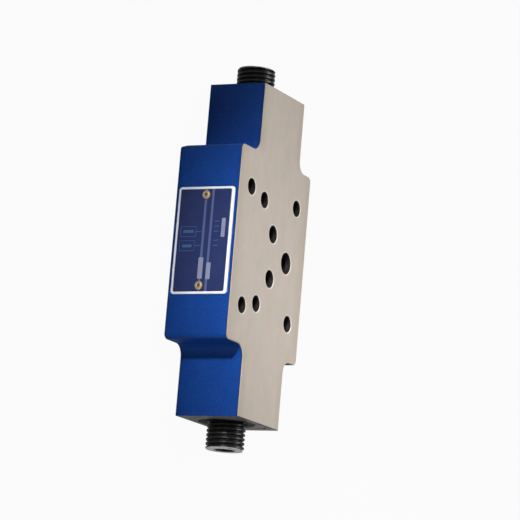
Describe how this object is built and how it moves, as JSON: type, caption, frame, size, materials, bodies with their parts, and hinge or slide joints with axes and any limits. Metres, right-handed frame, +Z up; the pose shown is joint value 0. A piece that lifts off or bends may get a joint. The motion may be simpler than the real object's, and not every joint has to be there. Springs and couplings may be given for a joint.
{
  "type": "sandwich plate throttle check valve",
  "caption": "Sandwich plate throttle check valve for a hydraulic valve stack, with an adjusting spindle at each end and a blue cast body between two ground port faces.",
  "frame": {"origin": "centre of the bolt pattern on the lower port face", "axes": "+X along the two adjusting spindles from the A side to the B side, +Y towards the nameplate side, +Z up through the valve stack"},
  "size_m": [0.1766, 0.0716, 0.0315],
  "materials": {
    "cast_body": "blue enamel on the cast sides, ground bare metal on the port faces and ends",
    "black_steel": "black oxide",
    "bright_steel": "ground",
    "spring_steel": "drawn wire",
    "seal_rubber": "matte",
    "plate_aluminium": "dark blue print with a white border",
    "rivet_brass": "bright"
  },
  "bodies": {
    "root": {"valve_body": "cast_body", "nameplate": "plate_aluminium", "nameplate_rivet_upper": "rivet_brass", "nameplate_rivet_lower": "rivet_brass", "port_seal_p": "seal_rubber", "port_seal_a": "seal_rubber", "port_seal_b": "seal_rubber", "port_seal_t": "seal_rubber", "port_seal_t1": "seal_rubber", "guide_bush_a": "black_steel", "bush_seal_a": "seal_rubber", "sleeve_stop_ring_a": "spring_steel", "check_spring_a": "spring_steel", "guide_bush_b": "black_steel", "bush_seal_b": "seal_rubber", "sleeve_stop_ring_b": "spring_steel", "check_spring_b": "spring_steel"},
    "throttle_a": {"throttle_spool_a": "bright_steel"},
    "spindle_a": {"adjusting_spindle_a": "black_steel", "spindle_seal_a": "seal_rubber", "spindle_stop_ring_a": "spring_steel"},
    "check_a": {"check_sleeve_a": "bright_steel"},
    "throttle_b": {"throttle_spool_b": "bright_steel"},
    "spindle_b": {"adjusting_spindle_b": "black_steel", "spindle_seal_b": "seal_rubber", "spindle_stop_ring_b": "spring_steel"},
    "check_b": {"check_sleeve_b": "bright_steel"}
  },
  "joints": [
    {"name": "throttle_slide_a", "type": "slide", "parent": "root", "child": "throttle_a", "axis": [-1, 0, 0], "range_m": [-0.0044, 0.002]},
    {"name": "spindle_turn_a", "type": "hinge", "parent": "throttle_a", "child": "spindle_a", "pos_m": [-0.0763, -0.002, 0.01575], "axis": [-1, 0, 0], "range_deg": [-793, 361]},
    {"name": "check_slide_a", "type": "slide", "parent": "root", "child": "check_a", "axis": [1, 0, 0], "range_m": [0, 0.0039], "stiffness_N_per_m": 800, "springref_m": -0.005, "deforming": ["check_spring_a"]},
    {"name": "throttle_slide_b", "type": "slide", "parent": "root", "child": "throttle_b", "axis": [1, 0, 0], "range_m": [-0.0036, 0.0028]},
    {"name": "spindle_turn_b", "type": "hinge", "parent": "throttle_b", "child": "spindle_b", "pos_m": [0.0763, -0.002, 0.01575], "axis": [1, 0, 0], "range_deg": [-649, 505]},
    {"name": "check_slide_b", "type": "slide", "parent": "root", "child": "check_b", "axis": [-1, 0, 0], "range_m": [0, 0.0039], "stiffness_N_per_m": 800, "springref_m": -0.005, "deforming": ["check_spring_b"]}
  ],
  "couplings": [
    {"joint": "spindle_turn_a", "follows": "throttle_slide_a", "rad_per_m": 3141.6},
    {"joint": "spindle_turn_b", "follows": "throttle_slide_b", "rad_per_m": 3141.6}
  ]
}
